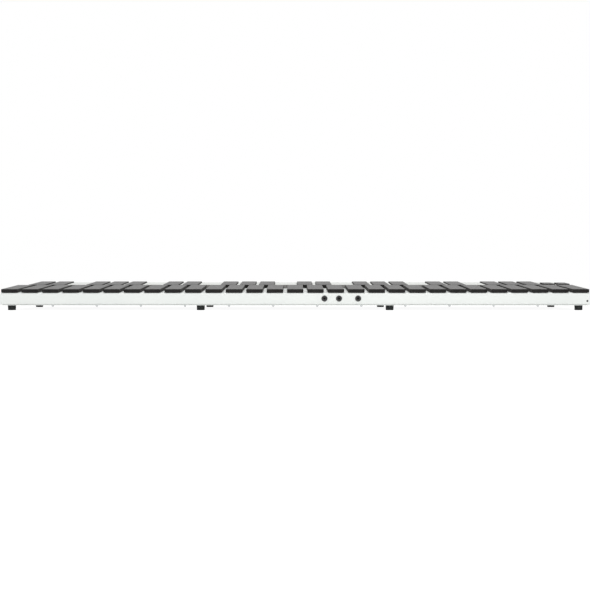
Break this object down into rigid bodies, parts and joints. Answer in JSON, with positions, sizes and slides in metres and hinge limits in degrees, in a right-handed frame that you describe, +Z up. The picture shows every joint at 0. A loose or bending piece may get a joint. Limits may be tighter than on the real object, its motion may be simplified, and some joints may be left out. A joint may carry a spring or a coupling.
{
  "type": "mallet controller",
  "caption": "Electronic mallet keyboard: two rows of sprung struck bars over a low wedge-shaped case on feet, with pedal jacks in front.",
  "frame": {"origin": "on the floor, under the middle of the whole instrument", "axes": "+X towards the high notes, +Y away from the player, +Z up"},
  "size_m": [1.446, 0.3668, 0.0697],
  "materials": {
    "case_white": "white powder coat on folded steel sheet, fine satin texture",
    "deck_white": "moulded white ABS, matt grain",
    "plate_white": "white powder coat on flat steel sheet; the feet are black rubber",
    "bar_rubber": "moulded charcoal silicone rubber, satin",
    "pad_rubber": "moulded charcoal silicone rubber, satin",
    "dome_silicone": "grey translucent silicone, moulded",
    "circuit_board": "green solder mask on glass-fibre board; sockets are black plastic"
  },
  "bodies": {
    "case": {"chassis_shell": "case_white", "accidental_deck": "deck_white", "bottom_plate": "plate_white", "natural_dome_mat": "dome_silicone", "sharp_dome_mat": "dome_silicone", "natural_sensor_board": "circuit_board", "sharp_sensor_board": "circuit_board", "main_board": "circuit_board", "rear_socket_board": "circuit_board"},
    "bar_c3": {"bar_c3": "bar_rubber"},
    "bar_d3": {"bar_d3": "bar_rubber"},
    "bar_e3": {"bar_e3": "bar_rubber"},
    "bar_f3": {"bar_f3": "bar_rubber"},
    "bar_g3": {"bar_g3": "bar_rubber"},
    "bar_a3": {"bar_a3": "bar_rubber"},
    "bar_b3": {"bar_b3": "bar_rubber"},
    "bar_c4": {"bar_c4": "bar_rubber"},
    "bar_d4": {"bar_d4": "bar_rubber"},
    "bar_e4": {"bar_e4": "bar_rubber"},
    "bar_f4": {"bar_f4": "bar_rubber"},
    "bar_g4": {"bar_g4": "bar_rubber"},
    "bar_a4": {"bar_a4": "bar_rubber"},
    "bar_b4": {"bar_b4": "bar_rubber"},
    "bar_c5": {"bar_c5": "bar_rubber"},
    "bar_d5": {"bar_d5": "bar_rubber"},
    "bar_e5": {"bar_e5": "bar_rubber"},
    "bar_f5": {"bar_f5": "bar_rubber"},
    "bar_g5": {"bar_g5": "bar_rubber"},
    "bar_a5": {"bar_a5": "bar_rubber"},
    "bar_b5": {"bar_b5": "bar_rubber"},
    "bar_c6": {"bar_c6": "bar_rubber"},
    "bar_d6": {"bar_d6": "bar_rubber"},
    "bar_e6": {"bar_e6": "bar_rubber"},
    "bar_f6": {"bar_f6": "bar_rubber"},
    "bar_g6": {"bar_g6": "bar_rubber"},
    "bar_a6": {"bar_a6": "bar_rubber"},
    "bar_b6": {"bar_b6": "bar_rubber"},
    "bar_c7": {"bar_c7": "bar_rubber"},
    "bar_c3_sharp": {"bar_c3_sharp": "bar_rubber"},
    "bar_d3_sharp": {"bar_d3_sharp": "bar_rubber"},
    "bar_f3_sharp": {"bar_f3_sharp": "bar_rubber"},
    "bar_g3_sharp": {"bar_g3_sharp": "bar_rubber"},
    "bar_a3_sharp": {"bar_a3_sharp": "bar_rubber"},
    "bar_c4_sharp": {"bar_c4_sharp": "bar_rubber"},
    "bar_d4_sharp": {"bar_d4_sharp": "bar_rubber"},
    "bar_f4_sharp": {"bar_f4_sharp": "bar_rubber"},
    "bar_g4_sharp": {"bar_g4_sharp": "bar_rubber"},
    "bar_a4_sharp": {"bar_a4_sharp": "bar_rubber"},
    "bar_c5_sharp": {"bar_c5_sharp": "bar_rubber"},
    "bar_d5_sharp": {"bar_d5_sharp": "bar_rubber"},
    "bar_f5_sharp": {"bar_f5_sharp": "bar_rubber"},
    "bar_g5_sharp": {"bar_g5_sharp": "bar_rubber"},
    "bar_a5_sharp": {"bar_a5_sharp": "bar_rubber"},
    "bar_c6_sharp": {"bar_c6_sharp": "bar_rubber"},
    "bar_d6_sharp": {"bar_d6_sharp": "bar_rubber"},
    "bar_f6_sharp": {"bar_f6_sharp": "bar_rubber"},
    "bar_g6_sharp": {"bar_g6_sharp": "bar_rubber"},
    "bar_a6_sharp": {"bar_a6_sharp": "bar_rubber"},
    "function_pad_1": {"function_pad_1": "pad_rubber"},
    "function_pad_2": {"function_pad_2": "pad_rubber"}
  },
  "joints": [
    {"name": "bar_c3_travel", "type": "slide", "parent": "case", "child": "bar_c3", "axis": [0, -0.0506, 0.9987], "range_m": [-0.0008, 0], "stiffness_N_per_m": 5000, "springref_m": 0.0004, "deforming": ["natural_dome_mat"]},
    {"name": "bar_d3_travel", "type": "slide", "parent": "case", "child": "bar_d3", "axis": [0, -0.0506, 0.9987], "range_m": [-0.0008, 0], "stiffness_N_per_m": 5000, "springref_m": 0.0004, "deforming": ["natural_dome_mat"]},
    {"name": "bar_e3_travel", "type": "slide", "parent": "case", "child": "bar_e3", "axis": [0, -0.0506, 0.9987], "range_m": [-0.0008, 0], "stiffness_N_per_m": 5000, "springref_m": 0.0004, "deforming": ["natural_dome_mat"]},
    {"name": "bar_f3_travel", "type": "slide", "parent": "case", "child": "bar_f3", "axis": [0, -0.0506, 0.9987], "range_m": [-0.0008, 0], "stiffness_N_per_m": 5000, "springref_m": 0.0004, "deforming": ["natural_dome_mat"]},
    {"name": "bar_g3_travel", "type": "slide", "parent": "case", "child": "bar_g3", "axis": [0, -0.0506, 0.9987], "range_m": [-0.0008, 0], "stiffness_N_per_m": 5000, "springref_m": 0.0004, "deforming": ["natural_dome_mat"]},
    {"name": "bar_a3_travel", "type": "slide", "parent": "case", "child": "bar_a3", "axis": [0, -0.0506, 0.9987], "range_m": [-0.0008, 0], "stiffness_N_per_m": 5000, "springref_m": 0.0004, "deforming": ["natural_dome_mat"]},
    {"name": "bar_b3_travel", "type": "slide", "parent": "case", "child": "bar_b3", "axis": [0, -0.0506, 0.9987], "range_m": [-0.0008, 0], "stiffness_N_per_m": 5000, "springref_m": 0.0004, "deforming": ["natural_dome_mat"]},
    {"name": "bar_c4_travel", "type": "slide", "parent": "case", "child": "bar_c4", "axis": [0, -0.0506, 0.9987], "range_m": [-0.0008, 0], "stiffness_N_per_m": 5000, "springref_m": 0.0004, "deforming": ["natural_dome_mat"]},
    {"name": "bar_d4_travel", "type": "slide", "parent": "case", "child": "bar_d4", "axis": [0, -0.0506, 0.9987], "range_m": [-0.0008, 0], "stiffness_N_per_m": 5000, "springref_m": 0.0004, "deforming": ["natural_dome_mat"]},
    {"name": "bar_e4_travel", "type": "slide", "parent": "case", "child": "bar_e4", "axis": [0, -0.0506, 0.9987], "range_m": [-0.0008, 0], "stiffness_N_per_m": 5000, "springref_m": 0.0004, "deforming": ["natural_dome_mat"]},
    {"name": "bar_f4_travel", "type": "slide", "parent": "case", "child": "bar_f4", "axis": [0, -0.0506, 0.9987], "range_m": [-0.0008, 0], "stiffness_N_per_m": 5000, "springref_m": 0.0004, "deforming": ["natural_dome_mat"]},
    {"name": "bar_g4_travel", "type": "slide", "parent": "case", "child": "bar_g4", "axis": [0, -0.0506, 0.9987], "range_m": [-0.0008, 0], "stiffness_N_per_m": 5000, "springref_m": 0.0004, "deforming": ["natural_dome_mat"]},
    {"name": "bar_a4_travel", "type": "slide", "parent": "case", "child": "bar_a4", "axis": [0, -0.0506, 0.9987], "range_m": [-0.0008, 0], "stiffness_N_per_m": 5000, "springref_m": 0.0004, "deforming": ["natural_dome_mat"]},
    {"name": "bar_b4_travel", "type": "slide", "parent": "case", "child": "bar_b4", "axis": [0, -0.0506, 0.9987], "range_m": [-0.0008, 0], "stiffness_N_per_m": 5000, "springref_m": 0.0004, "deforming": ["natural_dome_mat"]},
    {"name": "bar_c5_travel", "type": "slide", "parent": "case", "child": "bar_c5", "axis": [0, -0.0506, 0.9987], "range_m": [-0.0008, 0], "stiffness_N_per_m": 5000, "springref_m": 0.0004, "deforming": ["natural_dome_mat"]},
    {"name": "bar_d5_travel", "type": "slide", "parent": "case", "child": "bar_d5", "axis": [0, -0.0506, 0.9987], "range_m": [-0.0008, 0], "stiffness_N_per_m": 5000, "springref_m": 0.0004, "deforming": ["natural_dome_mat"]},
    {"name": "bar_e5_travel", "type": "slide", "parent": "case", "child": "bar_e5", "axis": [0, -0.0506, 0.9987], "range_m": [-0.0008, 0], "stiffness_N_per_m": 5000, "springref_m": 0.0004, "deforming": ["natural_dome_mat"]},
    {"name": "bar_f5_travel", "type": "slide", "parent": "case", "child": "bar_f5", "axis": [0, -0.0506, 0.9987], "range_m": [-0.0008, 0], "stiffness_N_per_m": 5000, "springref_m": 0.0004, "deforming": ["natural_dome_mat"]},
    {"name": "bar_g5_travel", "type": "slide", "parent": "case", "child": "bar_g5", "axis": [0, -0.0506, 0.9987], "range_m": [-0.0008, 0], "stiffness_N_per_m": 5000, "springref_m": 0.0004, "deforming": ["natural_dome_mat"]},
    {"name": "bar_a5_travel", "type": "slide", "parent": "case", "child": "bar_a5", "axis": [0, -0.0506, 0.9987], "range_m": [-0.0008, 0], "stiffness_N_per_m": 5000, "springref_m": 0.0004, "deforming": ["natural_dome_mat"]},
    {"name": "bar_b5_travel", "type": "slide", "parent": "case", "child": "bar_b5", "axis": [0, -0.0506, 0.9987], "range_m": [-0.0008, 0], "stiffness_N_per_m": 5000, "springref_m": 0.0004, "deforming": ["natural_dome_mat"]},
    {"name": "bar_c6_travel", "type": "slide", "parent": "case", "child": "bar_c6", "axis": [0, -0.0506, 0.9987], "range_m": [-0.0008, 0], "stiffness_N_per_m": 5000, "springref_m": 0.0004, "deforming": ["natural_dome_mat"]},
    {"name": "bar_d6_travel", "type": "slide", "parent": "case", "child": "bar_d6", "axis": [0, -0.0506, 0.9987], "range_m": [-0.0008, 0], "stiffness_N_per_m": 5000, "springref_m": 0.0004, "deforming": ["natural_dome_mat"]},
    {"name": "bar_e6_travel", "type": "slide", "parent": "case", "child": "bar_e6", "axis": [0, -0.0506, 0.9987], "range_m": [-0.0008, 0], "stiffness_N_per_m": 5000, "springref_m": 0.0004, "deforming": ["natural_dome_mat"]},
    {"name": "bar_f6_travel", "type": "slide", "parent": "case", "child": "bar_f6", "axis": [0, -0.0506, 0.9987], "range_m": [-0.0008, 0], "stiffness_N_per_m": 5000, "springref_m": 0.0004, "deforming": ["natural_dome_mat"]},
    {"name": "bar_g6_travel", "type": "slide", "parent": "case", "child": "bar_g6", "axis": [0, -0.0506, 0.9987], "range_m": [-0.0008, 0], "stiffness_N_per_m": 5000, "springref_m": 0.0004, "deforming": ["natural_dome_mat"]},
    {"name": "bar_a6_travel", "type": "slide", "parent": "case", "child": "bar_a6", "axis": [0, -0.0506, 0.9987], "range_m": [-0.0008, 0], "stiffness_N_per_m": 5000, "springref_m": 0.0004, "deforming": ["natural_dome_mat"]},
    {"name": "bar_b6_travel", "type": "slide", "parent": "case", "child": "bar_b6", "axis": [0, -0.0506, 0.9987], "range_m": [-0.0008, 0], "stiffness_N_per_m": 5000, "springref_m": 0.0004, "deforming": ["natural_dome_mat"]},
    {"name": "bar_c7_travel", "type": "slide", "parent": "case", "child": "bar_c7", "axis": [0, -0.0506, 0.9987], "range_m": [-0.0008, 0], "stiffness_N_per_m": 5000, "springref_m": 0.0004, "deforming": ["natural_dome_mat"]},
    {"name": "bar_c3_sharp_travel", "type": "slide", "parent": "case", "child": "bar_c3_sharp", "axis": [0, -0.0506, 0.9987], "range_m": [-0.0008, 0], "stiffness_N_per_m": 5000, "springref_m": 0.0004, "deforming": ["sharp_dome_mat"]},
    {"name": "bar_d3_sharp_travel", "type": "slide", "parent": "case", "child": "bar_d3_sharp", "axis": [0, -0.0506, 0.9987], "range_m": [-0.0008, 0], "stiffness_N_per_m": 5000, "springref_m": 0.0004, "deforming": ["sharp_dome_mat"]},
    {"name": "bar_f3_sharp_travel", "type": "slide", "parent": "case", "child": "bar_f3_sharp", "axis": [0, -0.0506, 0.9987], "range_m": [-0.0008, 0], "stiffness_N_per_m": 5000, "springref_m": 0.0004, "deforming": ["sharp_dome_mat"]},
    {"name": "bar_g3_sharp_travel", "type": "slide", "parent": "case", "child": "bar_g3_sharp", "axis": [0, -0.0506, 0.9987], "range_m": [-0.0008, 0], "stiffness_N_per_m": 5000, "springref_m": 0.0004, "deforming": ["sharp_dome_mat"]},
    {"name": "bar_a3_sharp_travel", "type": "slide", "parent": "case", "child": "bar_a3_sharp", "axis": [0, -0.0506, 0.9987], "range_m": [-0.0008, 0], "stiffness_N_per_m": 5000, "springref_m": 0.0004, "deforming": ["sharp_dome_mat"]},
    {"name": "bar_c4_sharp_travel", "type": "slide", "parent": "case", "child": "bar_c4_sharp", "axis": [0, -0.0506, 0.9987], "range_m": [-0.0008, 0], "stiffness_N_per_m": 5000, "springref_m": 0.0004, "deforming": ["sharp_dome_mat"]},
    {"name": "bar_d4_sharp_travel", "type": "slide", "parent": "case", "child": "bar_d4_sharp", "axis": [0, -0.0506, 0.9987], "range_m": [-0.0008, 0], "stiffness_N_per_m": 5000, "springref_m": 0.0004, "deforming": ["sharp_dome_mat"]},
    {"name": "bar_f4_sharp_travel", "type": "slide", "parent": "case", "child": "bar_f4_sharp", "axis": [0, -0.0506, 0.9987], "range_m": [-0.0008, 0], "stiffness_N_per_m": 5000, "springref_m": 0.0004, "deforming": ["sharp_dome_mat"]},
    {"name": "bar_g4_sharp_travel", "type": "slide", "parent": "case", "child": "bar_g4_sharp", "axis": [0, -0.0506, 0.9987], "range_m": [-0.0008, 0], "stiffness_N_per_m": 5000, "springref_m": 0.0004, "deforming": ["sharp_dome_mat"]},
    {"name": "bar_a4_sharp_travel", "type": "slide", "parent": "case", "child": "bar_a4_sharp", "axis": [0, -0.0506, 0.9987], "range_m": [-0.0008, 0], "stiffness_N_per_m": 5000, "springref_m": 0.0004, "deforming": ["sharp_dome_mat"]},
    {"name": "bar_c5_sharp_travel", "type": "slide", "parent": "case", "child": "bar_c5_sharp", "axis": [0, -0.0506, 0.9987], "range_m": [-0.0008, 0], "stiffness_N_per_m": 5000, "springref_m": 0.0004, "deforming": ["sharp_dome_mat"]},
    {"name": "bar_d5_sharp_travel", "type": "slide", "parent": "case", "child": "bar_d5_sharp", "axis": [0, -0.0506, 0.9987], "range_m": [-0.0008, 0], "stiffness_N_per_m": 5000, "springref_m": 0.0004, "deforming": ["sharp_dome_mat"]},
    {"name": "bar_f5_sharp_travel", "type": "slide", "parent": "case", "child": "bar_f5_sharp", "axis": [0, -0.0506, 0.9987], "range_m": [-0.0008, 0], "stiffness_N_per_m": 5000, "springref_m": 0.0004, "deforming": ["sharp_dome_mat"]},
    {"name": "bar_g5_sharp_travel", "type": "slide", "parent": "case", "child": "bar_g5_sharp", "axis": [0, -0.0506, 0.9987], "range_m": [-0.0008, 0], "stiffness_N_per_m": 5000, "springref_m": 0.0004, "deforming": ["sharp_dome_mat"]},
    {"name": "bar_a5_sharp_travel", "type": "slide", "parent": "case", "child": "bar_a5_sharp", "axis": [0, -0.0506, 0.9987], "range_m": [-0.0008, 0], "stiffness_N_per_m": 5000, "springref_m": 0.0004, "deforming": ["sharp_dome_mat"]},
    {"name": "bar_c6_sharp_travel", "type": "slide", "parent": "case", "child": "bar_c6_sharp", "axis": [0, -0.0506, 0.9987], "range_m": [-0.0008, 0], "stiffness_N_per_m": 5000, "springref_m": 0.0004, "deforming": ["sharp_dome_mat"]},
    {"name": "bar_d6_sharp_travel", "type": "slide", "parent": "case", "child": "bar_d6_sharp", "axis": [0, -0.0506, 0.9987], "range_m": [-0.0008, 0], "stiffness_N_per_m": 5000, "springref_m": 0.0004, "deforming": ["sharp_dome_mat"]},
    {"name": "bar_f6_sharp_travel", "type": "slide", "parent": "case", "child": "bar_f6_sharp", "axis": [0, -0.0506, 0.9987], "range_m": [-0.0008, 0], "stiffness_N_per_m": 5000, "springref_m": 0.0004, "deforming": ["sharp_dome_mat"]},
    {"name": "bar_g6_sharp_travel", "type": "slide", "parent": "case", "child": "bar_g6_sharp", "axis": [0, -0.0506, 0.9987], "range_m": [-0.0008, 0], "stiffness_N_per_m": 5000, "springref_m": 0.0004, "deforming": ["sharp_dome_mat"]},
    {"name": "bar_a6_sharp_travel", "type": "slide", "parent": "case", "child": "bar_a6_sharp", "axis": [0, -0.0506, 0.9987], "range_m": [-0.0008, 0], "stiffness_N_per_m": 5000, "springref_m": 0.0004, "deforming": ["sharp_dome_mat"]},
    {"name": "function_pad_1_travel", "type": "slide", "parent": "case", "child": "function_pad_1", "axis": [0, -0.0506, 0.9987], "range_m": [-0.0008, 0], "stiffness_N_per_m": 2500, "springref_m": 0.0004, "deforming": ["sharp_dome_mat"]},
    {"name": "function_pad_2_travel", "type": "slide", "parent": "case", "child": "function_pad_2", "axis": [0, -0.0506, 0.9987], "range_m": [-0.0008, 0], "stiffness_N_per_m": 2500, "springref_m": 0.0004, "deforming": ["sharp_dome_mat"]}
  ]
}
